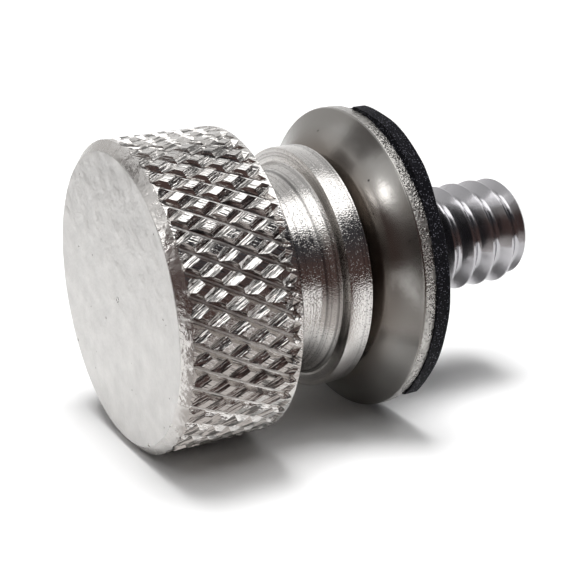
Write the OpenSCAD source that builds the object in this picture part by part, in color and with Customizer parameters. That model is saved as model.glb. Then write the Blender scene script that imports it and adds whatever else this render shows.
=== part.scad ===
// Knurled seat bolt: a turned thumb bolt with a diamond-knurled head, and the domed
// washer with a rubber seal that sits between its collar and the bracket it clamps.
// The bolt stands on its head, with the stud pointing up. The origin is the centre of
// the head's end face, and everything is turned about the Z axis.

/* [Head] */
// Diameter over the points of the knurl
head_d = 12.9; // [11:0.1:20]
// Length of the head along the axis
head_h = 5.05; // [3:0.05:12]
// Radial width of the bevel round the end face
bevel_w = 0.41; // [0.2:0.01:1]
// Height of that bevel along the axis
bevel_h = 0.35; // [0.15:0.01:1]

/* [Knurl] */
// Diamonds round the head
knurl_count = 43; // [30:1:60]
// Angle between the grooves and the axis, in degrees
knurl_angle = 30; // [25:1:40]
// Depth of the grooves
knurl_depth = 0.3; // [0.15:0.01:0.45]

/* [Neck and collar] */
// Diameter of the neck behind the head
neck_d = 8.28; // [6:0.02:9]
// Length of the neck, from the head to the foot of its cone
neck_h = 2.2; // [1:0.05:8]
// Diameter where the cone meets the collar's front face
cone_d = 9.2; // [9:0.02:10]
// Length of the cone
cone_h = 0.64; // [0.3:0.02:2]
// Diameter of the collar
collar_d = 10.4; // [10.1:0.02:12.6]
// Thickness of the collar
collar_h = 1.08; // [0.6:0.02:3]
// Bevel on the collar's front edge
collar_bevel = 0.12; // [0.05:0.01:0.3]

/* [Stud] */
// Diameter of the stud over its thread, a number 10 screw
stud_d = 4.8; // [3.4:0.1:5.6]
// Length of the stud, from the collar's back to its tip
stud_h = 10.28; // [6:0.02:25]
// Radial width of the taper at the stud's end
stud_taper_w = 0.3; // [0.1:0.05:0.8]
// Length of that taper
stud_taper_h = 0.36; // [0.1:0.02:1]
// How far the plain shank inside the washer lies under the thread's crests
shank_relief = 0.3; // [0.1:0.05:0.6]
// Gap between the back of the seal and the first full crest
runout_h = 0.06; // [0.06:0.02:0.6]

/* [Washer] */
// Outer diameter of the metal
washer_d = 13.2; // [12:0.1:20]
// Diameter of the flat that bears on the collar's back
seat_d = 6.8; // [6:0.1:8]
// Diameter of the bend between the two slopes of the dome
bend_d = 9.8; // [9:0.1:11]
// Slope of the dome inside the bend, in degrees
inner_slope = 20; // [10:1:25]
// Slope of the dome outside the bend, in degrees
outer_slope = 32; // [26:1:40]
// Radius of the dome's bends
bend_r = 1.2; // [0.4:0.1:1.6]
// Thickness of the sheet, measured along the axis
sheet_h = 0.45; // [0.3:0.01:1]
// Rounding of the washer's front edge, left by the punch
roll_r = 0.14; // [0.05:0.01:0.2]
// Radial clearance between the stud and the washer's hole
washer_clearance = 0.25; // [0.1:0.01:0.5]

/* [Seal] */
// How far the rubber stands out past the metal's edge
seal_lip = 0.15; // [0.05:0.01:1]
// Thickness of the rubber under the metal's edge
seal_h = 0.68; // [0.4:0.02:3]
// Rounding of the rubber's back edge
seal_round = 0.12; // [0.05:0.01:0.3]
// Radial clearance between the stud and the rubber's hole
seal_clearance = 0.08; // [0.05:0.01:0.3]

/* [Hidden] */
$fn = 64;

head_r = head_d / 2;
face_r = head_r - bevel_w;
stud_r = stud_d / 2;
shank_r = stud_r - shank_relief;
washer_r = washer_d / 2;
washer_bore_r = stud_r + washer_clearance;
seal_bore_r = stud_r + seal_clearance;
seal_r = washer_r + seal_lip;

cone_z = head_h + neck_h;
collar_z = cone_z + cone_h;
seat_z = collar_z + collar_h;
stud_z = seat_z + stud_h;

// The two families of grooves cross in diamonds. One diamond is knurl_step wide at the
// head's surface, and its half height is the distance between two rows of crossings.
knurl_step = PI * head_d / knurl_count;
half_diamond = knurl_step / tan(knurl_angle) / 2;
knurl_rows = max(2, round(head_h / half_diamond));
row_h = head_h / knurl_rows;
columns = 2 * knurl_count;
column_deg = 360 / columns;

// How much further than the head's surface the blank's cone runs, so that it never
// grazes the points of the knurl.
blank_margin = 0.5;
// How far one turned shape runs into the next, so that they join in one solid.
overlap = 0.5;
// Chords in each bend of the washer's section, and in each small rounding.
bend_steps = 6;
round_steps = 4;

// Points of an arc about [cr, cz], from angle a0 to angle a1
function arc(cr, cz, r, a0, a1, steps) =
    [for (i = [0:steps]) let (a = a0 + (a1 - a0) * i / steps) [cr + r * cos(a), cz + r * sin(a)]];

// Height of the dome over its seat at a bend, and at the metal's edge
bend_rise = (bend_d - seat_d) / 2 * tan(inner_slope);
rim_rise = bend_rise + (washer_r - bend_d / 2) * tan(outer_slope);
rim_z = seat_z + rim_rise + sheet_h;
seal_z = rim_z + seal_h;
thread_z = seal_z + runout_h;

// A bend of the dome: the arc that blends the slope before a corner into the slope after it
function bend(r, z, slope0, slope1) =
    let (reach = bend_r * tan((slope1 - slope0) / 2),
         cr = r - reach * cos(slope0) - bend_r * sin(slope0),
         cz = z - reach * sin(slope0) + bend_r * cos(slope0))
    arc(cr, cz, bend_r, slope0 - 90, slope1 - 90, bend_steps);

// The dome's line from the seat's inner edge outwards, at the given height over the metal's front.
// The corners sit at the seat's edge and at the bend.
function dome_line(inner_r, outer_r, lift) = concat(
    [[inner_r, seat_z + lift]],
    bend(seat_d / 2, seat_z + lift, 0, inner_slope),
    bend(bend_d / 2, seat_z + bend_rise + lift, inner_slope, outer_slope),
    [[outer_r, seat_z + lift + bend_rise + (outer_r - bend_d / 2) * tan(outer_slope)]]
);

// A vertex of the knurl: crossings of the grooves and points of the diamonds take turns,
// both round a row and from each row to the next.
function is_point(row, column) = (row + column) % 2 == 1;
function knurl_vertex(row, column) =
    let (r = is_point(row, column) ? head_r : head_r - knurl_depth, a = column * column_deg)
    [r * cos(a), r * sin(a), row * row_h];
function knurl_index(row, column) = row * columns + column % columns;

// The knurled sleeve's skin. Each cell is split along the line that joins its two groove
// crossings, so that the grooves run straight and each diamond is a low pyramid.
module knurled_sleeve() {
    skin = [for (row = [0:knurl_rows], column = [0:columns - 1]) knurl_vertex(row, column)];
    first_centre = len(skin);
    last_centre = first_centre + 1;
    points = concat(skin, [[0, 0, 0], [0, 0, head_h]]);
    cells = [for (row = [0:knurl_rows - 1], column = [0:columns - 1])
        let (a = knurl_index(row, column), b = knurl_index(row, column + 1),
             c = knurl_index(row + 1, column + 1), d = knurl_index(row + 1, column))
        each (is_point(row, column) ? [[a, d, b], [b, d, c]] : [[a, d, c], [a, c, b]])];
    first_cap = [for (column = [0:columns - 1])
        [first_centre, knurl_index(0, column), knurl_index(0, column + 1)]];
    last_cap = [for (column = [0:columns - 1])
        [last_centre, knurl_index(knurl_rows, column + 1), knurl_index(knurl_rows, column)]];
    polyhedron(points, concat(cells, first_cap, last_cap), convexity = 4);
}

// The turned blank: its bevel trims the knurl round the end face.
module blank() {
    rim = head_r + blank_margin;
    rotate_extrude()
        polygon([[0, 0], [face_r, 0], [rim, (rim - face_r) * bevel_h / bevel_w], [rim, head_h],
                 [0, head_h]]);
}

// Neck, cone and collar, turned in one with the stud
module neck_and_stud() {
    rotate_extrude()
        polygon([[0, head_h - overlap], [neck_d / 2, head_h - overlap], [neck_d / 2, cone_z],
                 [cone_d / 2, collar_z], [collar_d / 2 - collar_bevel, collar_z],
                 [collar_d / 2, collar_z + collar_bevel], [collar_d / 2, seat_z], [shank_r, seat_z],
                 [shank_r, thread_z], [stud_r, thread_z], [stud_r, stud_z - stud_taper_h],
                 [stud_r - stud_taper_w, stud_z], [0, stud_z]]);
}

module knurled_bolt() {
    color([0.74, 0.73, 0.71])
    union() {
        intersection() {
            knurled_sleeve();
            blank();
        }
        neck_and_stud();
    }
}

// Domed sheet washer: its flat crown bears on the collar's back and its edge is punched square.
module dome_washer() {
    front_line = dome_line(washer_bore_r, washer_r - roll_r, 0);
    front_edge_z = front_line[len(front_line) - 1][1];
    front_roll = arc(washer_r - roll_r, front_edge_z + roll_r, roll_r, -90, 0, round_steps);
    back_line = dome_line(washer_bore_r, washer_r, sheet_h);
    back_points = [for (i = [len(back_line) - 1:-1:0]) back_line[i]];
    color([0.6, 0.59, 0.57])
    rotate_extrude() polygon(concat(front_line, front_roll, back_points));
}

// Rubber ring bonded into the dome: it fills the hollow and stands out past the metal's edge.
module rubber_seal() {
    front_line = dome_line(seal_bore_r, washer_r, sheet_h);
    back_round = arc(seal_r - seal_round, seal_z - seal_round, seal_round, 0, 90, round_steps);
    color([0.05, 0.05, 0.06])
    rotate_extrude()
        polygon(concat(front_line, [[seal_r, rim_z]], back_round, [[seal_bore_r, seal_z]]));
}

knurled_bolt();
dome_washer();
rubber_seal();
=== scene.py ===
"""Knurled seat bolt with its domed washer and rubber seal: finished meshes, materials, floor, light and camera."""

import math

import bmesh
import bpy
from mathutils import Matrix, Vector


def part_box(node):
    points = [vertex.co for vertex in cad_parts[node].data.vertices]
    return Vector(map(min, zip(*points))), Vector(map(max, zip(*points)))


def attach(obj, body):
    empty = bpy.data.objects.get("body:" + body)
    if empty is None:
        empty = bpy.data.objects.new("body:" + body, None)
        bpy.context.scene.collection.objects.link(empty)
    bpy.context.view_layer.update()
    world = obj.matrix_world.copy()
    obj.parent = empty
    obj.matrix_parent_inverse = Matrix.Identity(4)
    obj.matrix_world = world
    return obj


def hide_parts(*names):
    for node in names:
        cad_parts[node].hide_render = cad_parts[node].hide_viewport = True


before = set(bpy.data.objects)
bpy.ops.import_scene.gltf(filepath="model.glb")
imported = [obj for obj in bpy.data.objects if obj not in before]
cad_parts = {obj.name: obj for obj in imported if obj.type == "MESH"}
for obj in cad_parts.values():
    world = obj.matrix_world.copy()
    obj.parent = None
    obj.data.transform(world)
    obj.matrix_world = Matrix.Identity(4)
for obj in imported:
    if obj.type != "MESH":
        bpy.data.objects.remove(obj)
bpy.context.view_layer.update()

bl_info = {
    "name": "Knurled seat bolt",
    "version": (1, 0, 0),
    "blender": (4, 5, 0),
    "location": "View3D > Sidebar > Seat bolt",
    "description": "Models a knurled seat bolt, its domed washer and its rubber seal, and sets them on a floor",
    "category": "Add Mesh",
}

MM = 0.001

# Sizes are in millimetres and angles in degrees. The bolt's axis is Z, its head's end face is at Z = 0, and
# angles round it are measured from X. Sizes that the frame holds are taken from it.
HEAD_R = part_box("knurled_bolt")[1].x / MM
STUD_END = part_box("knurled_bolt")[1].z / MM
WASHER_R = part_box("dome_washer")[1].x / MM
SEAT_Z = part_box("dome_washer")[0].z / MM
RIM_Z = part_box("dome_washer")[1].z / MM
SEAL_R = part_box("rubber_seal")[1].x / MM
SEAL_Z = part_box("rubber_seal")[1].z / MM

HEAD_H = 5.05
HEAD_EDGE = 0.06
BEVEL_W = 0.41
BEVEL_H = 0.35
NECK_R = 4.14
NECK_FILLET = 0.12
STIPPLE_Z = 6.2
CONE_Z = 7.25
CONE_R = 4.6
COLLAR_Z = 7.89
COLLAR_R = 5.2
SHANK_R = 2.1
STUD_R = 2.4
TURNED_STEPS = 192
THREAD_STEPS = 64
# Edges sharper than these angles stay crisp.
BOLT_CREASE = 24
RING_CREASE = 35

# The bolt's section from its end face to its stud's end, as (radius, height).
BOLT_OUTLINE = (
    (HEAD_R - BEVEL_W - 0.03, 0),
    (HEAD_R - BEVEL_W, 0.02),
    (HEAD_R - 0.02, BEVEL_H),
    (HEAD_R, BEVEL_H + 0.03),
    (HEAD_R, HEAD_H - HEAD_EDGE),
    (HEAD_R - HEAD_EDGE, HEAD_H),
    (NECK_R + NECK_FILLET, HEAD_H),
    (NECK_R, HEAD_H + NECK_FILLET),
    (NECK_R, STIPPLE_Z),
    (NECK_R + 0.05, CONE_Z - 0.12),
    (NECK_R + 0.07, CONE_Z + 0.02),
    (CONE_R - 0.05, COLLAR_Z - 0.06),
    (CONE_R + 0.02, COLLAR_Z),
    (COLLAR_R - 0.12, COLLAR_Z),
    (COLLAR_R - 0.03, COLLAR_Z + 0.03),
    (COLLAR_R, COLLAR_Z + 0.11),
    (COLLAR_R, SEAT_Z - 0.05),
    (COLLAR_R - 0.05, SEAT_Z),
    (SHANK_R, SEAT_Z),
    (SHANK_R, SEAL_Z - 0.3),
    (STUD_R, SEAL_Z + 0.02),
    (STUD_R, STUD_END - 0.36),
    (STUD_R - 0.26, STUD_END - 0.04),
    (STUD_R - 0.32, STUD_END),
)

# Where a groove of each hand would meet Z = 0, and the heights where grooves start, are full, fade and end.
DEEP_PHASE = 83.6
SHALLOW_PHASE = 77.8
GROOVE_START, GROOVE_FULL, GROOVE_FADE, GROOVE_END = 0.3, 0.5, 4.65, HEAD_H - 0.12
# Radii of the grooves' rounded bottoms.
DEEP_ROUND = 0.06
SHALLOW_ROUND = 0.012
# Widths of the grooves' mouths, as shares of the distance between grooves.
DEEP_SHARE = 0.42
SHALLOW_SHARE = 0.72
# How high above a deep groove's bottom its pale strip reaches.
GROOVE_FLOOR = 0.015

# Height of a thread crest at angle 0, and the rounding of the thread's root.
CREST_Z = 12.644
ROOT_ROUND = 0.16

# Pits and chips in the end face, as X, Y and radius.
FACE_MARKS = (
    (-1.13, 4.52, 0.05),
    (-1.35, 4.7, 0.03),
    (-3.69, -0.24, 0.05),
    (-5.2, 3.09, 0.06),
    (-4.1, 3.6, 0.04),
    (-6.13, 1.55, 0.16),
    (-6.2, 0.9, 0.13),
    (-5.98, 0.4, 0.1),
    (-6.0, -1.1, 0.12),
    (2.6, -3.2, 0.04),
)

SHEET_H = 0.45
RIM_ROUND = 0.14
WASHER_BORE_R = 2.65
SEAL_BORE_R = 2.48
SEAL_ROUND = 0.1
# Between these angles the seal stands past the metal, and elsewhere it falls short of it by up to this.
SEAL_PAST = (24, 160)
SEAL_SHORT = 0.15
# Each bend of the dome: its radius from the axis, the slope after it, and its rounding.
DOME_BENDS = ((3.4, 14, 1.2), (4.65, 29, 2.5), (5.3, 36, 4.5))

# The side of the bolt that lies on the floor, the height on its axis that the floor's middle is under, and the
# floor's width in metres.
TOUCH = 201
STAGE_MIDDLE_Z = 8
FLOOR_SIZE = 1.6
# The camera's place, its axes and its lens, on the bolt's axes.
CAMERA_PLACE = (-0.87174, 50.48951, -18.47222)
CAMERA_RIGHT = (-0.195203, 0.452141, 0.870325)
CAMERA_UP = (0.980763, 0.089990, 0.173222)
CAMERA_LENS = 82.717

# Lamps, in metres and degrees on the floor's axes. The window's turn is from Y towards X.
LONG_LAMP_PLACE, LONG_LAMP_SIZE, LONG_LAMP_TURN = (0.12, -0.2, 1.0), (1.9, 0.85), 31
SOFT_LAMP_PLACE, SOFT_LAMP_SIZE = (-0.06, 0.08, 0.9), (0.46, 0.46)
WINDOW_SIZE, WINDOW_TURN, WINDOW_RISE, WINDOW_DISTANCE = (0.07, 0.055), 248, 22, 0.5
LAMP_EDGE = 0.12

SCREEN_STEPS = 180
SCREEN_LIFT = 0.1
NEAR_BLACK = (0.045, 0.045, 0.05)
BROWN = (0.085, 0.055, 0.05)
DIM = (0.14, 0.13, 0.125)
GREY = (0.3, 0.29, 0.28)
# Screens that the metal mirrors: name, first and last angle from the floor's Y towards X, radii of the lower and
# upper edge, height of the upper edge, where the tint starts and stops fading, and the two tints.
SCREENS = (
    ("back_right_screen", 45, 84, (50, 50), 62, (64, 86), GREY, (0.62, 0.61, 0.6)),
    ("right_screen", 84, 150, (50, 50), 70, (70, 84), BROWN, NEAR_BLACK),
    ("near_right_screen", 150, 180, (50, 50), 52, (70, 84), BROWN, NEAR_BLACK),
    ("near_screen", 180, 236, (50, 50), 54, (78, 92), BROWN, GREY),
    ("left_low_screen", 236, 266, (50, 50), 20, (60, 70), BROWN, DIM),
    ("left_high_screen", 266, 290, (50, 50), 45, (70, 84), DIM, (0.2, 0.19, 0.185)),
    ("back_screen", 290, 335, (50, 50), 33, (54, 68), (1.1, 1.1, 1.1), (0.66, 0.65, 0.64)),
    # The card on the floor towards the camera is the floor as the metal mirrors it, with painted shade: pale next
    # to the bolt and browning further out.
    ("near_floor_shade_card", 138, 214, (7, 50), 0, (8, 34), (0.66, 0.63, 0.61), BROWN),
)


# ---------------------------------------------------------------- modelling helpers


def start_piece(name):
    """Takes the newest object as a piece: names it and writes its place into its mesh."""
    piece = bpy.context.object
    piece.name = piece.data.name = name
    bpy.ops.object.transform_apply(location=True, rotation=True, scale=True)
    return piece


def work_on(piece):
    """Makes the piece the only selected and active object."""
    bpy.ops.object.select_all(action="DESELECT")
    piece.select_set(True)
    bpy.context.view_layer.objects.active = piece


def start_editing(select_mode="VERT", action="SELECT"):
    """Enters Edit Mode with everything, or nothing, of the active object selected."""
    bpy.ops.object.mode_set(mode="EDIT")
    bpy.ops.mesh.select_mode(type=select_mode)
    bpy.ops.mesh.select_all(action=action)


def start_circle(name, vertices, radius=1, height=0, fill="NOTHING"):
    """Adds a circle, its radius and height in millimetres, as the start of a piece."""
    bpy.ops.object.select_all(action="DESELECT")
    bpy.ops.mesh.primitive_circle_add(
        vertices=vertices, radius=radius * MM, fill_type=fill, location=(0, 0, height * MM)
    )
    return start_piece(name)


def finish_mesh():
    """Turns every normal outwards and leaves Edit Mode."""
    bpy.ops.mesh.select_all(action="SELECT")
    bpy.ops.mesh.normals_make_consistent(inside=False)
    bpy.ops.object.mode_set(mode="OBJECT")


def smooth(piece, angle):
    """Shades the piece smooth, with edges sharper than an angle in degrees left crisp."""
    work_on(piece)
    bpy.ops.object.shade_smooth_by_angle(angle=math.radians(angle))


def turned_solid(name, outline):
    """Turns a solid: a disc at the outline's first (radius, height) is extruded and scaled to each next one."""
    piece = start_circle(name, TURNED_STEPS, *outline[0], fill="NGON")
    start_editing()
    follow_outline(outline)
    finish_mesh()
    return piece


def turned_ring(name, outline):
    """Turns a ring: an open circle follows the outline round to its first point, where the ends are merged."""
    piece = start_circle(name, TURNED_STEPS, *outline[0])
    start_editing()
    follow_outline(outline + [outline[0]])
    bpy.ops.mesh.select_all(action="SELECT")
    bpy.ops.mesh.remove_doubles(threshold=1e-7)
    finish_mesh()
    return piece


def follow_outline(outline):
    """Extrudes and scales what is selected through each (radius, height) of the outline."""
    for (r0, z0), (r1, z1) in zip(outline, outline[1:]):
        bpy.ops.mesh.extrude_region_move(TRANSFORM_OT_translate={"value": (0, 0, (z1 - z0) * MM)})
        bpy.ops.transform.resize(value=(r1 / r0, r1 / r0, 1), center_override=(0, 0, z1 * MM))


def arc(centre_r, centre_z, radius, start, end, steps):
    """Points of an arc in the (radius, height) plane."""
    turns = [math.radians(start + (end - start) * i / steps) for i in range(steps + 1)]
    return [(centre_r + radius * math.cos(t), centre_z + radius * math.sin(t)) for t in turns]


def cut(piece, cutter):
    """Subtracts the cutter from the piece and removes it."""
    work_on(piece)
    faces_before = len(piece.data.polygons)
    bpy.ops.object.modifier_add(type="BOOLEAN")
    boolean = piece.modifiers[-1]
    boolean.operation = "DIFFERENCE"
    boolean.solver = "MANIFOLD"
    boolean.object = cutter
    bpy.ops.object.modifier_apply(modifier=boolean.name)
    if len(piece.data.polygons) in (0, faces_before):
        raise RuntimeError(f"{cutter.name} didn't cut {piece.name}")
    mesh = cutter.data
    bpy.data.objects.remove(cutter)
    bpy.data.meshes.remove(mesh)


def turn_selection(angle):
    """Turns what is selected about Z by an angle in degrees, anticlockwise seen from above."""
    bpy.ops.transform.rotate(
        value=-math.radians(angle), orient_axis="Z", center_override=(0, 0, 0), orient_type="GLOBAL"
    )


def scale_about_axis(size):
    """Scales what is selected towards or away from Z."""
    bpy.ops.transform.resize(value=(size, size, 1), center_override=(0, 0, 0))


def shape_loop(piece, points):
    """Moves each corner of a fresh circle to its place, one at a time."""
    for corner, point in enumerate(points):
        start_editing(action="DESELECT")
        bpy.ops.object.mode_set(mode="OBJECT")
        vertex = piece.data.vertices[corner]
        vertex.select = True
        step = Vector(point) * MM - vertex.co
        bpy.ops.object.mode_set(mode="EDIT")
        bpy.ops.transform.translate(value=step)
        bpy.ops.object.mode_set(mode="OBJECT")


# ---------------------------------------------------------------- cutters and sections


def groove_section(depth, bottom, mouth, reach):
    """Half a groove as (radius, half width): a rounded bottom, and a straight side that flares past the head."""
    side = math.atan2(depth, mouth / 2)
    steps = math.ceil(math.degrees(side) / 23)
    turns = [side * i / steps for i in range(steps + 1)]
    section = [(HEAD_R - depth + bottom * (1 - math.cos(t)), bottom * math.sin(t)) for t in turns]
    r, w = section[-1]
    section.append((HEAD_R + reach, w + (HEAD_R + reach - r) / math.tan(side)))
    return section


def groove_cutter(name, phase, lean, depth, bottom, mouth, count):
    """Cutter for one hand of the knurl: a leaning groove is extruded up the head and copied round it.

    The groove runs in just above the bevel and runs out just under the head's back edge.
    """
    lift = (HEAD_R + 0.01) / (HEAD_R - depth)
    full = [GROOVE_FULL + (GROOVE_FADE - GROOVE_FULL) * i / 10 for i in range(11)]
    levels = [(GROOVE_START, lift)] + [(z, 1.0) for z in full] + [(GROOVE_END, lift)]
    twist = math.degrees(math.tan(math.radians(lean)) / HEAD_R)
    half = groove_section(depth, bottom, mouth, reach=0.3)
    section = [(r, -w) for r, w in reversed(half[1:])] + half
    cutter = start_circle(name, len(section), fill="NGON")
    shape_loop(cutter, [(r * lift, w / math.cos(math.radians(lean)), GROOVE_START) for r, w in section])
    start_editing()
    turn_selection(phase + twist * GROOVE_START)
    for (z0, scale0), (z1, scale1) in zip(levels, levels[1:]):
        bpy.ops.mesh.extrude_region_move(TRANSFORM_OT_translate={"value": (0, 0, (z1 - z0) * MM)})
        turn_selection(twist * (z1 - z0))
        if scale0 != scale1:
            scale_about_axis(scale1 / scale0)
    bpy.ops.mesh.select_all(action="SELECT")
    bpy.ops.mesh.normals_make_consistent(inside=False)
    bpy.ops.mesh.spin(
        steps=count - 1, dupli=True, angle=2 * math.pi * (count - 1) / count, center=(0, 0, 0), axis=(0, 0, 1)
    )
    bpy.ops.object.mode_set(mode="OBJECT")
    return cutter


def face_marks_cutter(name):
    """Cutter for the marks on the end face: the tool's small ring near the centre, pits, and chips at the edge."""
    bpy.ops.object.select_all(action="DESELECT")
    bpy.ops.mesh.primitive_torus_add(
        major_radius=0.11 * MM,
        minor_radius=0.025 * MM,
        major_segments=20,
        minor_segments=6,
        location=(0, 0.17 * MM, 0),
    )
    marks = start_piece(name)
    start_editing(action="DESELECT")
    for x, y, size in FACE_MARKS:
        place = (x * MM, y * MM, -0.3 * size * MM)
        bpy.ops.mesh.primitive_ico_sphere_add(subdivisions=2, radius=size * MM, location=place)
    bpy.ops.object.mode_set(mode="OBJECT")
    return marks


def thread_cutter(name, pitch, depth):
    """Cutter for the thread: the groove's section, screwed up the stud from under the seal's back."""
    half = pitch / 2
    start, top = CREST_Z - pitch * 1.5, STUD_END + 0.4
    section = arc(STUD_R - depth + ROOT_ROUND, 0, ROOT_ROUND, 165, 125, 2)
    section += [(STUD_R - 0.04, half - 0.09), (STUD_R + 0.002, half - 0.04), (STUD_R + 0.12, half - 0.012)]
    section += [(r, -w) for r, w in reversed(section)]
    cutter = start_circle(name, len(section))
    shape_loop(cutter, [(r, 0, start + w) for r, w in section])
    bpy.ops.object.modifier_add(type="SCREW")
    screw = cutter.modifiers[-1]
    screw.steps = screw.render_steps = THREAD_STEPS
    screw.iterations = math.ceil((top - start) / pitch)
    screw.screw_offset = pitch * MM
    screw.axis = "Z"
    bpy.ops.object.modifier_apply(modifier=screw.name)
    start_editing("EDGE", "DESELECT")
    bpy.ops.mesh.select_non_manifold(extend=False, use_wire=False, use_boundary=True)
    bpy.ops.mesh.edge_face_add()
    finish_mesh()
    return cutter


def dome_line(inner_r, outer_r, lift):
    """The dome's section from its hole outwards, lifted by the sheet's thickness for its back."""
    height = SEAT_Z + lift
    points = [(inner_r, height)]
    last, slope = inner_r, 0
    for corner, after, rounding in DOME_BENDS:
        height += (corner - last) * math.tan(math.radians(slope))
        reach = rounding * math.tan(math.radians((after - slope) / 2))
        b = math.radians(slope)
        centre_r = corner - reach * math.cos(b) - rounding * math.sin(b)
        centre_z = height - reach * math.sin(b) + rounding * math.cos(b)
        points += arc(centre_r, centre_z, rounding, slope - 90, after - 90, 6)
        last, slope = corner, after
    points.append((outer_r, height + (outer_r - last) * math.tan(math.radians(slope))))
    return points


def seal_outline(turn):
    """The hand-cut seal's outer radius at an angle: past the metal on one side, short of it on the other."""
    wave = 0.015 * math.sin(math.radians(turn * 7)) + 0.012 * math.sin(math.radians(turn * 16 + 40))
    first, last = SEAL_PAST
    if first < turn < last:
        swell = 0.17 * min(1, max(0, (78 - turn) / 14)) * min(1, (turn - first) / 18)
        return SEAL_R - 0.06 + swell + wave
    growth = min(SEAL_SHORT, max(0, 168 - turn) * 0.02) if turn > 90 else 0
    return WASHER_R - SEAL_SHORT + growth + wave


def trim_seal(seal):
    """Scales the seal's rim to its outline, one direction at a time."""
    work_on(seal)
    start_editing(action="DESELECT")
    mesh = bmesh.from_edit_mesh(seal.data)
    rows = {}
    for v in mesh.verts:
        if v.co.xy.length > (WASHER_R - 0.5) * MM:
            turn = math.degrees(math.atan2(v.co.y, v.co.x)) % 360
            rows.setdefault(round(turn, 2) % 360, []).append(v)
    for turn, row in rows.items():
        for v in row:
            v.select_set(True)
        scale_about_axis(seal_outline(turn) / SEAL_R)
        for v in row:
            v.select_set(False)
    bpy.ops.object.mode_set(mode="OBJECT")


def dress(piece, finishes):
    """Gives the piece its finishes: each is a material and a test on a face's radius and height and its normal.

    The normal's parts are taken outwards from Z, anticlockwise round Z and along Z.
    """
    piece.data.materials.clear()
    for material, _ in finishes:
        piece.data.materials.append(material)
    for face in piece.data.polygons:
        centre = face.center / MM
        radius = max(math.hypot(centre.x, centre.y), 1e-6)
        outwards = (face.normal.x * centre.x + face.normal.y * centre.y) / radius
        around = (face.normal.y * centre.x - face.normal.x * centre.y) / radius
        for slot, (_, belongs) in enumerate(finishes):
            if belongs(radius, centre.z, Vector((outwards, around, face.normal.z))):
                face.material_index = slot
                break


# ---------------------------------------------------------------- node helpers


class Nodes:
    """Short hand for placing and joining nodes."""

    def __init__(self, tree):
        self.tree = tree

    def add(self, kind, inputs=None, **settings):
        """Adds a node; each input is a value or a socket to join to."""
        node = self.tree.nodes.new(kind)
        for key, value in settings.items():
            setattr(node, key, value)
        for key, value in (inputs or {}).items():
            if isinstance(value, bpy.types.NodeSocket):
                self.feed(node, key, value)
            else:
                node.inputs[key].default_value = value
        return node

    def feed(self, node, socket, value):
        """Joins an output to a node's input."""
        self.tree.links.new(value, node.inputs[socket])

    def math(self, operation, a, b=0.0, clamp=False):
        return self.add("ShaderNodeMath", {0: a, 1: b}, operation=operation, use_clamp=clamp).outputs[0]

    def total(self, *parts):
        """The sum of (value, weight) parts."""
        products = [value if weight == 1 else self.math("MULTIPLY", value, weight) for value, weight in parts]
        result = products[0]
        for product in products[1:]:
            result = self.math("ADD", result, product)
        return result

    def split(self, vector):
        """A vector's X, Y and Z."""
        return self.add("ShaderNodeSeparateXYZ", {0: vector}).outputs

    def radius(self, place):
        """Distance from Z of a split place."""
        return self.math("SQRT", self.total((place[0], place[0]), (place[1], place[1])))

    def span(self, value, low, high, out_low=0.0, out_high=1.0):
        """Carries a value from one range to another, and holds it there."""
        ranges = {"From Min": low, "From Max": high, "To Min": out_low, "To Max": out_high}
        return self.add("ShaderNodeMapRange", {"Value": value, **ranges}).outputs["Result"]

    def blend(self, factor, a, b):
        """A colour between a and b."""
        return self.add("ShaderNodeMix", {0: factor, 6: a, 7: b}, data_type="RGBA").outputs[2]

    def noise(self, vector, scale, detail):
        """A noise texture's value."""
        return self.add("ShaderNodeTexNoise", {"Vector": vector, "Scale": scale, "Detail": detail}).outputs[0]

    def object_place(self):
        return self.add("ShaderNodeTexCoord").outputs["Object"]


def fresh_nodes(owner):
    """Empties the node tree of a material, lamp or world."""
    owner.use_nodes = True
    owner.node_tree.nodes.clear()
    return Nodes(owner.node_tree)


def tone(colour, share=1.0):
    """The colour as RGBA, scaled by a number or by one number for each channel."""
    shares = share if isinstance(share, tuple) else (share,) * 3
    return (*(c * s for c, s in zip(colour, shares)), 1.0)


def new_group(name, sockets_in, sockets_out):
    """A shader node group: a Place vector, number inputs with their defaults, and number outputs."""
    group = bpy.data.node_groups.new(name, "ShaderNodeTree")
    group.interface.new_socket(name="Place", in_out="INPUT", socket_type="NodeSocketVector")
    for label, default in sockets_in.items():
        socket = group.interface.new_socket(name=label, in_out="INPUT", socket_type="NodeSocketFloat")
        socket.default_value = default
    for label in sockets_out:
        group.interface.new_socket(name=label, in_out="OUTPUT", socket_type="NodeSocketFloat")
    nodes = Nodes(group)
    return group, nodes, nodes.add("NodeGroupInput").outputs, nodes.add("NodeGroupOutput")


def lathe_lines_group():
    """Rings left by a turning tool: fine and coarse lines round Z, broken up a little along their length."""
    group, n, given, result = new_group("lathe_lines", {"Fine": 14.0, "Coarse": 3.0}, ["Lines"])
    place = n.split(given["Place"])
    across = n.math("MULTIPLY", n.radius(place), 1 / MM)
    along = n.math("MULTIPLY", place[2], 1 / MM)
    around = n.math("COSINE", n.math("ARCTAN2", place[1], place[0]))
    ring = n.add("ShaderNodeCombineXYZ", {0: across, 1: along, 2: around}).outputs[0]
    ring = n.add("ShaderNodeVectorMath", {0: ring, 1: (1, 1, 0.05)}, operation="MULTIPLY").outputs[0]
    fine = n.noise(ring, given["Fine"], 2.0)
    coarse = n.noise(ring, given["Coarse"], 1.0)
    n.feed(result, "Lines", n.total((fine, 0.5), (coarse, 0.5)))
    return group


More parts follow.
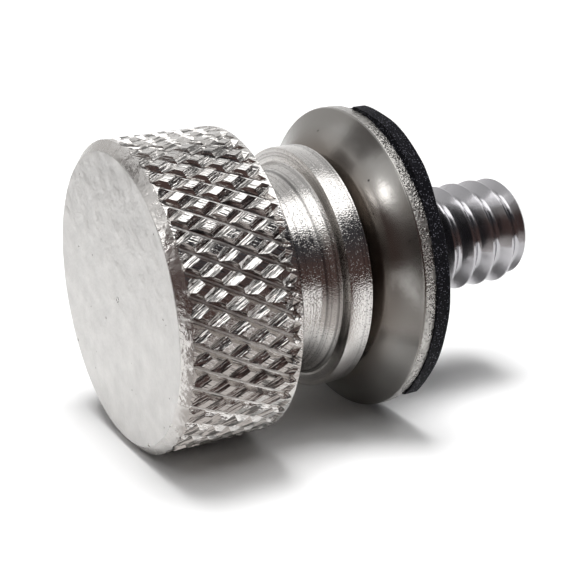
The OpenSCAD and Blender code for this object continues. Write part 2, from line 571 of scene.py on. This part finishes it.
def specks_group():
    """Small scattered dimples, a fine grain and a slower mottle, in millimetres."""
    group, n, given, result = new_group("specks", {"Per mm": 8.0, "Share": 0.3}, ["Dimples", "Mottle", "Grain"])
    scaled = n.add("ShaderNodeVectorMath", {0: given["Place"], "Scale": 1 / MM}, operation="SCALE").outputs[0]
    cells = n.add("ShaderNodeTexVoronoi", {"Vector": scaled, "Scale": given["Per mm"]}, feature="F1").outputs
    chosen = n.math("LESS_THAN", n.split(cells["Color"])[0], given["Share"])
    pit = n.math("SUBTRACT", 1.0, n.math("MULTIPLY", cells["Distance"], 2.4, clamp=True), clamp=True)
    n.feed(result, "Dimples", n.math("MULTIPLY", pit, chosen))
    n.feed(result, "Mottle", n.noise(scaled, 0.9, 3.0))
    n.feed(result, "Grain", n.noise(scaled, given["Per mm"], 2.0))
    return group


def drag_marks_group():
    """Marks dragged along a helix round Z that leans by an angle, spokes running out from Z, and the radius."""
    group, n, given, result = new_group("drag_marks", {"Lean": 0.0}, ["Marks", "Spokes", "Radius"])
    place = n.split(given["Place"])
    turn = n.math("ARCTAN2", place[1], place[0])
    around = n.math("MULTIPLY", turn, HEAD_R)
    along = n.math("MULTIPLY", place[2], 1 / MM)
    lean = n.math("RADIANS", given["Lean"])
    sine, cosine = n.math("SINE", lean), n.math("COSINE", lean)
    across = n.math("SUBTRACT", n.math("MULTIPLY", around, cosine), n.math("MULTIPLY", along, sine))
    down = n.total((around, sine), (along, cosine))
    streak = {0: n.math("MULTIPLY", across, 13.0), 1: n.math("MULTIPLY", down, 1.2)}
    spoke = {0: n.math("MULTIPLY", turn, 40.0), 1: n.math("MULTIPLY", along, 2.0)}
    n.feed(result, "Marks", n.noise(n.add("ShaderNodeCombineXYZ", streak).outputs[0], 1.0, 2.0))
    n.feed(result, "Spokes", n.noise(n.add("ShaderNodeCombineXYZ", spoke).outputs[0], 1.0, 2.0))
    n.feed(result, "Radius", n.math("MULTIPLY", n.radius(place), 1 / MM))
    return group


def shared_group(name):
    """A node group that the finishes share, made once."""
    makers = {"lathe_lines": lathe_lines_group, "specks": specks_group, "drag_marks": drag_marks_group}
    return bpy.data.node_groups.get(name) or makers[name]()


def use_group(nodes, name, **inputs):
    """Places a shared group on the material's own object coordinates."""
    values = {key.replace("_", " "): value for key, value in inputs.items()}
    return nodes.add(
        "ShaderNodeGroup", {"Place": nodes.object_place(), **values}, node_tree=shared_group(name)
    ).outputs


# ---------------------------------------------------------------- finishes


def new_material(name, colour, metallic=1.0):
    """A material with a Principled shader, and its node helper."""
    material = bpy.data.materials.new(name)
    nodes = fresh_nodes(material)
    shader = nodes.add("ShaderNodeBsdfPrincipled", {"Base Color": tone(colour), "Metallic": metallic})
    nodes.add("ShaderNodeOutputMaterial", {"Surface": shader.outputs[0]})
    return material, nodes, shader


def roughen(nodes, shader, mottle, low, high):
    """Lets the roughness drift between two values with a mottle."""
    nodes.feed(shader, "Roughness", nodes.span(mottle, 0.3, 0.7, low, high))


def bump(nodes, shader, height, distance):
    """Feeds a height, measured in the given distance, to the shader's Normal."""
    node = nodes.add("ShaderNodeBump", {"Height": height, "Strength": 1.0, "Distance": distance * MM})
    nodes.feed(shader, "Normal", node.outputs[0])


def turned_steel(finish):
    """Neck: steel with crisp rings left by the turning tool, some of them dark."""
    material, n, shader = new_material("neck_turned_steel", finish.steel_colour)
    lines = use_group(n, "lathe_lines", Fine=26.0, Coarse=13.0)["Lines"]
    clean = n.span(lines, 0.37, 0.42)
    n.feed(shader, "Base Color", n.blend(clean, tone(finish.steel_colour, 0.6), tone(finish.steel_colour)))
    n.feed(shader, "Roughness", n.span(lines, 0.35, 0.65, 0.06, 0.13))
    bump(n, shader, lines, 0.022)
    return material


def stippled_steel(finish, name, shade):
    """Cone or collar: turned steel with a fine stipple of dark dimples from tumbling."""
    material, n, shader = new_material(name, finish.steel_colour)
    specks = use_group(n, "specks", Per_mm=14.0, Share=0.6)
    lines = use_group(n, "lathe_lines", Fine=8.0, Coarse=3.0)["Lines"]
    dark = n.math("ADD", specks["Dimples"], n.span(lines, 0.5, 0.36), clamp=True)
    n.feed(shader, "Base Color", n.blend(dark, tone(finish.steel_colour), tone(finish.steel_colour, shade)))
    roughen(n, shader, specks["Mottle"], 0.08, 0.16)
    bump(n, shader, n.total((specks["Dimples"], -0.3), (lines, 0.5), (specks["Grain"], 0.4)), 0.03)
    return material


def faced_steel(finish):
    """End face: tumbled grey-white steel, with faint tool marks and a few dark specks."""
    material, n, shader = new_material("face_tumbled_steel", finish.face_colour)
    lines = use_group(n, "lathe_lines", Fine=6.0, Coarse=1.2)["Lines"]
    fine = use_group(n, "specks", Per_mm=8.0, Share=0.3)
    few = use_group(n, "specks", Per_mm=1.5, Share=0.2)
    dark = n.math("GREATER_THAN", n.total((few["Dimples"], 1), (fine["Grain"], 0.5)), 1.03)
    pale = n.span(n.total((few["Mottle"], 1), (fine["Grain"], 0.2)), 0.4, 0.8)
    tint = n.blend(pale, tone(finish.face_colour, 0.8), tone(finish.face_colour))
    n.feed(shader, "Base Color", n.blend(n.math("MULTIPLY", dark, 0.7), tint, (0.12, 0.1, 0.09, 1)))
    roughen(n, shader, few["Mottle"], 0.38, 0.46)
    bump(n, shader, n.total((fine["Grain"], 0.2), (lines, 0.2), (few["Mottle"], 2.5)), 0.05)
    return material


def bevel_steel(finish):
    """Bevel round the end face: turned, a little burred by the knurling."""
    material, n, shader = new_material("bevel_turned_steel", finish.steel_colour)
    specks = use_group(n, "specks", Per_mm=5.0, Share=0.3)
    roughen(n, shader, specks["Mottle"], 0.2, 0.32)
    bump(n, shader, n.total((specks["Grain"], 1), (specks["Mottle"], 1)), 0.03)
    return material


def knurl_steel(finish, name, lean, dark_share):
    """One hand of the knurl's grooves: bright pressed metal, with dark marks dragged along the groove."""
    material, n, shader = new_material(name, finish.steel_colour)
    specks = use_group(n, "specks", Per_mm=6.0, Share=0.4)
    drag = use_group(n, "drag_marks", Lean=lean)["Marks"]
    dark = n.total((drag, 1), (specks["Mottle"], 0.5))
    clean = n.span(dark, 0.42 + 0.5 * dark_share, 0.52 + 0.5 * dark_share)
    n.feed(shader, "Base Color", n.blend(clean, tone(finish.steel_colour, 0.33), tone(finish.steel_colour, 1.1)))
    roughen(n, shader, specks["Mottle"], 0.1, 0.2)
    bump(n, shader, n.total((specks["Grain"], 0.25), (drag, 0.5)), 0.2 * dark_share)
    return material


def groove_floor_steel(finish):
    """Bottom of the knurl's deep grooves: pale and rough, where the knurling tool's teeth pressed hardest."""
    material, n, shader = new_material("groove_floor_steel", finish.face_colour)
    specks = use_group(n, "specks", Per_mm=6.0, Share=0.2)
    roughen(n, shader, specks["Mottle"], 0.35, 0.5)
    bump(n, shader, specks["Grain"], 0.03)
    return material


def thread_steel(finish):
    """Thread: rolled and bright, almost a mirror."""
    material, n, shader = new_material("thread_bright_steel", finish.thread_colour)
    specks = use_group(n, "specks", Per_mm=6.0, Share=0.1)
    roughen(n, shader, specks["Mottle"], 0.14, 0.22)
    bump(n, shader, specks["Mottle"], 0.02)
    return material


def sheet_steel(finish):
    """Washer's dome: satin sheet steel with painted shade that darkens and browns it towards the bolt, with faint
    spokes and a few pits.
    """
    material, n, shader = new_material("washer_satin_steel", finish.sheet_colour)
    specks = use_group(n, "specks", Per_mm=2.2, Share=0.08)
    marks = use_group(n, "drag_marks", Lean=0.0)
    # Painted shade: inside 5 mm from the axis, where the collar overhangs the dome, the colour is darker and
    # browner, fading to the sheet's own colour by 5.9 mm.
    past_painted_shade = n.span(marks["Radius"], 5.0, 5.9)
    tint = n.blend(past_painted_shade, tone(finish.sheet_colour, (0.75, 0.69, 0.65)), tone(finish.sheet_colour))
    pits = n.math("MULTIPLY", n.math("GREATER_THAN", specks["Dimples"], 0.72), 0.7)
    n.feed(shader, "Base Color", n.blend(pits, tint, (0.03, 0.027, 0.025, 1)))
    roughen(n, shader, specks["Mottle"], 0.17, 0.23)
    bump(n, shader, n.total((specks["Mottle"], 0.6), (marks["Spokes"], 0.1), (specks["Grain"], 0.06)), 0.012)
    return material


def punched_steel(finish):
    """Washer's edge: torn, speckled metal where the punch broke through."""
    material, n, shader = new_material("washer_punched_edge", finish.sheet_colour)
    specks = use_group(n, "specks", Per_mm=11.0, Share=0.7)
    pale, dark = tone(finish.sheet_colour, 1.4), tone(finish.sheet_colour, 0.4)
    n.feed(shader, "Base Color", n.blend(specks["Dimples"], pale, dark))
    roughen(n, shader, specks["Mottle"], 0.2, 0.35)
    bump(n, shader, n.math("SUBTRACT", specks["Grain"], specks["Dimples"]), 0.06)
    return material


def seal_rubber(finish):
    """Seal: black foam rubber with fine pale pores."""
    material, n, shader = new_material("seal_black_rubber", finish.rubber_colour, metallic=0.0)
    shader.inputs["Specular IOR Level"].default_value = 0.1
    specks = use_group(n, "specks", Per_mm=13.0, Share=0.5)
    pores = n.math("POWER", specks["Dimples"], 1.3)
    n.feed(shader, "Base Color", n.blend(pores, tone(finish.rubber_colour), tone(finish.pore_colour)))
    roughen(n, shader, specks["Mottle"], 0.6, 0.8)
    bump(n, shader, n.total((specks["Dimples"], 1), (specks["Grain"], 1)), 0.06)
    return material


# ---------------------------------------------------------------- settings


class SeatBoltSizes(bpy.types.PropertyGroup):
    """Sizes of the knurl and the thread."""

    knurl_count: bpy.props.IntProperty(
        name="Knurl count", description="Grooves of each hand round the head", default=43, min=20, max=80
    )
    knurl_angle: bpy.props.FloatProperty(
        name="Knurl angle",
        description="Angle between a groove and the axis",
        default=math.radians(30),
        subtype="ANGLE",
    )
    deep_groove: bpy.props.FloatProperty(
        name="Deep grooves",
        description="Depth of the right-leaning grooves",
        default=0.23 * MM,
        unit="LENGTH",
        precision=6,
    )
    shallow_groove: bpy.props.FloatProperty(
        name="Shallow grooves",
        description="Depth of the left-leaning grooves",
        default=0.19 * MM,
        unit="LENGTH",
        precision=6,
    )
    thread_pitch: bpy.props.FloatProperty(
        name="Thread pitch",
        description="Distance from one crest to the next",
        default=1.0583 * MM,
        unit="LENGTH",
        precision=6,
    )
    thread_depth: bpy.props.FloatProperty(
        name="Thread depth",
        description="Depth of the thread under its crests",
        default=0.44 * MM,
        unit="LENGTH",
        precision=6,
    )


def colour_property(name, description, default):
    """A colour that the user can set."""
    return bpy.props.FloatVectorProperty(
        name=name, description=description, default=default, subtype="COLOR", size=3, min=0, max=1
    )


class SeatBoltFinish(bpy.types.PropertyGroup):
    """Colours of the metal and the rubber."""

    steel_colour: colour_property("Steel", "Colour of the turned steel", (0.63, 0.61, 0.59))
    thread_colour: colour_property("Thread", "Colour of the thread's steel", (0.451, 0.443, 0.459))
    face_colour: colour_property("End face", "Paler parts of the head's end face", (0.665, 0.653, 0.637))
    sheet_colour: colour_property("Washer", "Colour of the washer's sheet steel", (0.335, 0.325, 0.31))
    rubber_colour: colour_property("Rubber", "Colour of the rubber seal", (0.004, 0.004, 0.006))
    pore_colour: colour_property("Pores", "Colour of the rubber's fine pores", (0.34, 0.34, 0.4))


def brightness_property(name, description, default):
    """A brightness that the user can set."""
    return bpy.props.FloatProperty(name=name, description=description, default=default, min=0)


class SeatBoltStage(bpy.types.PropertyGroup):
    """Floor and light."""

    floor_colour: colour_property("Floor", "Colour of the floor", (0.93, 0.93, 0.93))
    lamp_brightness: brightness_property("Lamp", "Brightness of the soft lamp above the floor", 14.4)
    mirrored_lamp_brightness: brightness_property(
        "Mirrored lamp", "Brightness of the long lamp that the metal mirrors", 1.9
    )
    window_brightness: brightness_property("Window", "Brightness of the low lamp at the left", 7.0)
    room_brightness: brightness_property("Room", "Brightness of the room round the floor", 0.06)
    wall_brightness: brightness_property("Wall", "Brightness of the room's wall as the metal mirrors it", 1.05)
    ceiling_brightness: brightness_property(
        "Ceiling", "Brightness of the room's ceiling as the metal mirrors it", 0.38
    )


# ---------------------------------------------------------------- operators for the pieces


class SEATBOLT_OT_turn_bolt(bpy.types.Operator):
    """Turn the bolt, knurl its head and cut its thread"""

    bl_idname = "seatbolt.turn_bolt"
    bl_label = "Turn the bolt"

    def execute(self, context):
        sizes = context.scene.seat_bolt_sizes
        finish = context.scene.seat_bolt_finish
        deep, shallow = sizes.deep_groove / MM, sizes.shallow_groove / MM
        count, angle = sizes.knurl_count, math.degrees(sizes.knurl_angle)
        step = 2 * math.pi * HEAD_R / count * math.cos(sizes.knurl_angle)
        bolt = turned_solid("turned_bolt", BOLT_OUTLINE)
        cut(bolt, groove_cutter("deep_grooves", DEEP_PHASE, angle, deep, DEEP_ROUND, step * DEEP_SHARE, count))
        cut(
            bolt,
            groove_cutter(
                "shallow_grooves", SHALLOW_PHASE, -angle, shallow, SHALLOW_ROUND, step * SHALLOW_SHARE, count
            ),
        )
        cut(bolt, face_marks_cutter("face_marks"))
        cut(bolt, thread_cutter("thread_groove", sizes.thread_pitch / MM, sizes.thread_depth / MM))
        smooth(bolt, BOLT_CREASE)
        self.dress(bolt, finish, angle, HEAD_R - deep + GROOVE_FLOOR)
        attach(bolt, "root")
        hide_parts("knurled_bolt")
        return {"FINISHED"}

    def dress(self, bolt, finish, angle, floor_r):
        """Gives each face of the bolt its finish: the two hands of grooves lean their faces opposite ways."""
        turned = turned_steel(finish)
        shallow = knurl_steel(finish, "shallow_groove_steel", -angle, dark_share=0.5)
        deep = knurl_steel(finish, "deep_groove_steel", angle, dark_share=0.3)
        cone = stippled_steel(finish, "cone_stippled_steel", shade=0.4)
        collar = stippled_steel(finish, "collar_stippled_steel", shade=0.62)
        past_neck = NECK_R + 0.2
        finishes = [
            (faced_steel(finish), lambda r, z, n: z < 0.03 and n.z < -0.8),
            (bevel_steel(finish), lambda r, z, n: z < BEVEL_H + 0.05 and n.z < -0.62),
            (turned, lambda r, z, n: HEAD_H - 0.05 < z < HEAD_H + 0.01 and n.z > 0.5),
            (groove_floor_steel(finish), lambda r, z, n: past_neck < r < floor_r and GROOVE_START < z < GROOVE_END),
            (shallow, lambda r, z, n: z < HEAD_H - 0.05 and n.y * n.z > 0.02),
            (deep, lambda r, z, n: z < HEAD_H + 0.01 and r > past_neck),
            (turned, lambda r, z, n: z < STIPPLE_Z),
            (cone, lambda r, z, n: z < COLLAR_Z - 0.02),
            (collar, lambda r, z, n: z < SEAT_Z + 0.01),
            (thread_steel(finish), lambda r, z, n: True),
        ]
        dress(bolt, finishes)


class SEATBOLT_OT_press_washer(bpy.types.Operator):
    """Press the domed washer out of sheet steel"""

    bl_idname = "seatbolt.press_washer"
    bl_label = "Press the washer"

    def execute(self, context):
        finish = context.scene.seat_bolt_finish
        front = dome_line(WASHER_BORE_R, WASHER_R - RIM_ROUND, 0)
        roll = arc(WASHER_R - RIM_ROUND, front[-1][1] + RIM_ROUND, RIM_ROUND, -60, 0, 4)
        back = dome_line(WASHER_BORE_R, WASHER_R, SHEET_H)
        washer = turned_ring("pressed_washer", front + roll + back[::-1])
        smooth(washer, RING_CREASE)
        edge = (punched_steel(finish), lambda r, z, n: r > WASHER_R - 0.02)
        dress(washer, [edge, (sheet_steel(finish), lambda r, z, n: True)])
        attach(washer, "root")
        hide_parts("dome_washer")
        return {"FINISHED"}


class SEATBOLT_OT_cut_seal(bpy.types.Operator):
    """Cut the rubber seal that fills the washer's hollow"""

    bl_idname = "seatbolt.cut_seal"
    bl_label = "Cut the seal"

    def execute(self, context):
        finish = context.scene.seat_bolt_finish
        front = dome_line(SEAL_BORE_R, WASHER_R, SHEET_H)
        edge = [(SEAL_R, RIM_Z + 0.01)] + arc(SEAL_R - SEAL_ROUND, SEAL_Z - SEAL_ROUND, SEAL_ROUND, 0, 90, 4)
        seal = turned_ring("rubber_ring", front + edge + [(SEAL_BORE_R, SEAL_Z)])
        trim_seal(seal)
        smooth(seal, RING_CREASE)
        dress(seal, [(seal_rubber(finish), lambda r, z, n: True)])
        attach(seal, "root")
        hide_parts("rubber_seal")
        return {"FINISHED"}


# ---------------------------------------------------------------- stage


def axes_matrix(x, y, z, place):
    """A matrix with the given axes and place."""
    return Matrix([(x[i], y[i], z[i], place[i]) for i in range(3)] + [(0, 0, 0, 1)])


def stage_matrix():
    """The floor's own frame: X to the camera's right, Y away from the camera, Z up off the floor.

    The bolt lies on the edge of its bevel and on the washer's rim.
    """
    lean = math.atan((WASHER_R - HEAD_R) / (RIM_Z - BEVEL_H))
    touch = math.radians(TOUCH)
    down = Vector((math.cos(touch), math.sin(touch), 0))
    up = (-down * math.cos(lean) + Vector((0, 0, math.sin(lean)))).normalized()
    right = Vector(CAMERA_RIGHT)
    right = (right - up * right.dot(up)).normalized()
    contact = down * HEAD_R * MM + Vector((0, 0, BEVEL_H * MM))
    middle = Vector((0, 0, STAGE_MIDDLE_Z * MM))
    return axes_matrix(right, up.cross(right), up, middle - up * (middle - contact).dot(up))


class SEATBOLT_OT_set_stage(bpy.types.Operator):
    """Set the floor, the lamps, the screens that the metal mirrors, the room and the camera"""

    bl_idname = "seatbolt.set_stage"
    bl_label = "Set the stage"

    def execute(self, context):
        stage = context.scene.seat_bolt_stage
        base = stage_matrix()
        self.floor(stage, base)
        for row in SCREENS:
            self.screen(base, *row)
        self.light(context, stage, base)
        self.room(context, stage, base)
        self.camera(context)
        context.scene.view_settings.view_transform = "Standard"
        return {"FINISHED"}

    def floor(self, stage, base):
        """The floor, which the camera sees through from behind."""
        bpy.ops.object.select_all(action="DESELECT")
        bpy.ops.mesh.primitive_plane_add(size=FLOOR_SIZE)
        floor = bpy.context.object
        floor.name = "pale_floor"
        floor.matrix_world = base
        material = bpy.data.materials.new("pale_floor")
        n = fresh_nodes(material)
        matt = {"Base Color": tone(stage.floor_colour), "Roughness": 0.9, "Specular IOR Level": 0.0}
        shader = n.add("ShaderNodeBsdfPrincipled", matt).outputs[0]
        clear = n.add("ShaderNodeBsdfTransparent").outputs[0]
        camera_ray = n.add("ShaderNodeLightPath").outputs["Is Camera Ray"]
        behind = n.math("MULTIPLY", camera_ray, n.add("ShaderNodeNewGeometry").outputs["Backfacing"])
        mixed = n.add("ShaderNodeMixShader", {0: behind, 1: shader, 2: clear})
        n.add("ShaderNodeOutputMaterial", {"Surface": mixed.outputs[0]})
        floor.data.materials.append(material)

    def screen(self, base, name, start, end, radii, top, fade, low, high):
        """A screen or floor card round the bolt, between two angles, seen only in reflections.

        Its tint fades with a face's distance from the axis plus its height, in millimetres.
        """
        lower_r, upper_r = radii
        screen = start_circle(name, SCREEN_STEPS, lower_r, SCREEN_LIFT)
        start_editing()
        bpy.ops.mesh.extrude_region_move(TRANSFORM_OT_translate={"value": (0, 0, top * MM)})
        bpy.ops.transform.resize(value=(upper_r / lower_r, upper_r / lower_r, 1))
        bpy.ops.mesh.select_mode(type="FACE")
        bpy.ops.mesh.select_all(action="DESELECT")
        bpy.ops.object.mode_set(mode="OBJECT")
        for face in screen.data.polygons:
            around = math.degrees(math.atan2(face.center.x, face.center.y)) % 360
            face.select = not start < around < end
        bpy.ops.object.mode_set(mode="EDIT")
        bpy.ops.mesh.delete(type="FACE")
        bpy.ops.object.mode_set(mode="OBJECT")
        material = bpy.data.materials.new(name)
        n = fresh_nodes(material)
        place = n.split(n.object_place())
        away = n.math("ADD", n.radius(place), place[2])
        tint = n.blend(n.span(away, fade[0] * MM, fade[1] * MM), tone(low), tone(high))
        n.add("ShaderNodeOutputMaterial", {"Surface": n.add("ShaderNodeEmission", {"Color": tint}).outputs[0]})
        screen.data.materials.append(material)
        screen.matrix_world = base
        screen.visible_camera = screen.visible_diffuse = screen.visible_shadow = False

    def light(self, context, stage, base):
        """A long lamp overhead, a soft one for the shadows, and a low one that the washer mirrors."""
        place = Matrix.Translation(LONG_LAMP_PLACE) @ Matrix.Rotation(math.radians(LONG_LAMP_TURN), 4, "Z")
        self.lamp(context, "mirrored_lamp", base @ place, LONG_LAMP_SIZE, stage.mirrored_lamp_brightness)
        place = Matrix.Translation(SOFT_LAMP_PLACE)
        soft = self.lamp(context, "soft_lamp", base @ place, SOFT_LAMP_SIZE, stage.lamp_brightness)
        soft.visible_glossy = False
        turn, rise = math.radians(WINDOW_TURN), math.radians(WINDOW_RISE)
        way = Vector((math.sin(turn) * math.cos(rise), math.cos(turn) * math.cos(rise), math.sin(rise)))
        place = Matrix.Translation(way * WINDOW_DISTANCE) @ way.to_track_quat("Z", "Y").to_matrix().to_4x4()
        self.lamp(context, "window_lamp", base @ place, WINDOW_SIZE, stage.window_brightness)

    def lamp(self, context, name, place, size, brightness):
        """A rectangular lamp that fades towards its edges."""
        lamp = bpy.data.lights.new(name, "AREA")
        lamp.shape = "RECTANGLE"
        lamp.size, lamp.size_y = size
        lamp.energy = brightness * math.pi * size[0] * size[1]
        n = fresh_nodes(lamp)
        spot = n.split(n.add("ShaderNodeNewGeometry").outputs["Parametric"])
        offsets = [n.math("ABSOLUTE", n.math("SUBTRACT", spot[i], 0.5)) for i in (0, 1)]
        fades = [n.span(offset, 0.5, 0.5 - LAMP_EDGE) for offset in offsets]
        glow = n.add("ShaderNodeEmission", {"Strength": n.math("MULTIPLY", *fades)})
        n.add("ShaderNodeOutputLight", {"Surface": glow.outputs[0]})
        holder = bpy.data.objects.new(name, lamp)
        context.scene.collection.objects.link(holder)
        holder.matrix_world = place
        holder.visible_camera = False
        return holder

    def room(self, context, stage, base):
        """The room: plain light for dull things, and for the metal a white wall that greys towards the ceiling."""
        world = bpy.data.worlds.new("white_room")
        context.scene.world = world
        n = fresh_nodes(world)
        path = n.add("ShaderNodeLightPath").outputs
        way = n.add("ShaderNodeTexCoord").outputs["Generated"]
        up = base.to_3x3() @ Vector((0, 0, 1))
        rise = n.add("ShaderNodeVectorMath", {0: way, 1: up}, operation="DOT_PRODUCT").outputs["Value"]
        wall = n.span(n.math("MULTIPLY", rise, rise), 0.0, 1.0, stage.wall_brightness, stage.ceiling_brightness)
        room, mirrored, white = (
            n.add("ShaderNodeBackground", {"Strength": strength, "Color": (1, 1, 1, 1)}).outputs[0]
            for strength in (stage.room_brightness, wall, 1.0)
        )
        mixed = n.add("ShaderNodeMixShader", {0: path["Is Glossy Ray"], 1: room, 2: mirrored}).outputs[0]
        mixed = n.add("ShaderNodeMixShader", {0: path["Is Camera Ray"], 1: mixed, 2: white}).outputs[0]
        n.add("ShaderNodeOutputWorld", {"Surface": mixed})

    def camera(self, context):
        """The camera, level with the head and turned to look along the floor."""
        data = bpy.data.cameras.new("camera")
        data.lens = CAMERA_LENS
        data.clip_start = 1 * MM
        data.clip_end = 10
        camera = bpy.data.objects.new("camera", data)
        context.scene.collection.objects.link(camera)
        right, up = Vector(CAMERA_RIGHT).normalized(), Vector(CAMERA_UP).normalized()
        camera.matrix_world = axes_matrix(right, up, right.cross(up), [c * MM for c in CAMERA_PLACE])
        context.scene.camera = camera


# ---------------------------------------------------------------- panel and registration


class SEATBOLT_PT_panel(bpy.types.Panel):
    """Lists the bolt's sizes, its finishes and the steps that make it"""

    bl_label = "Seat bolt"
    bl_space_type = "VIEW_3D"
    bl_region_type = "UI"
    bl_category = "Seat bolt"

    def draw(self, context):
        scene = context.scene
        for settings in (scene.seat_bolt_sizes, scene.seat_bolt_finish, scene.seat_bolt_stage):
            box = self.layout.box()
            for name in settings.bl_rna.properties.keys():
                if name not in ("rna_type", "name"):
                    box.prop(settings, name)
        for operator in OPERATORS:
            self.layout.operator(operator.bl_idname)


OPERATORS = (SEATBOLT_OT_turn_bolt, SEATBOLT_OT_press_washer, SEATBOLT_OT_cut_seal, SEATBOLT_OT_set_stage)
CLASSES = (SeatBoltSizes, SeatBoltFinish, SeatBoltStage, *OPERATORS, SEATBOLT_PT_panel)


def register():
    for cls in CLASSES:
        bpy.utils.register_class(cls)
    bpy.types.Scene.seat_bolt_sizes = bpy.props.PointerProperty(type=SeatBoltSizes)
    bpy.types.Scene.seat_bolt_finish = bpy.props.PointerProperty(type=SeatBoltFinish)
    bpy.types.Scene.seat_bolt_stage = bpy.props.PointerProperty(type=SeatBoltStage)


def unregister():
    del bpy.types.Scene.seat_bolt_sizes
    del bpy.types.Scene.seat_bolt_finish
    del bpy.types.Scene.seat_bolt_stage
    for cls in reversed(CLASSES):
        bpy.utils.unregister_class(cls)


def main():
    """Makes the pieces and the stage."""
    register()
    bpy.ops.seatbolt.turn_bolt()
    bpy.ops.seatbolt.press_washer()
    bpy.ops.seatbolt.cut_seal()
    bpy.ops.seatbolt.set_stage()


if __name__ == "__main__":
    main()
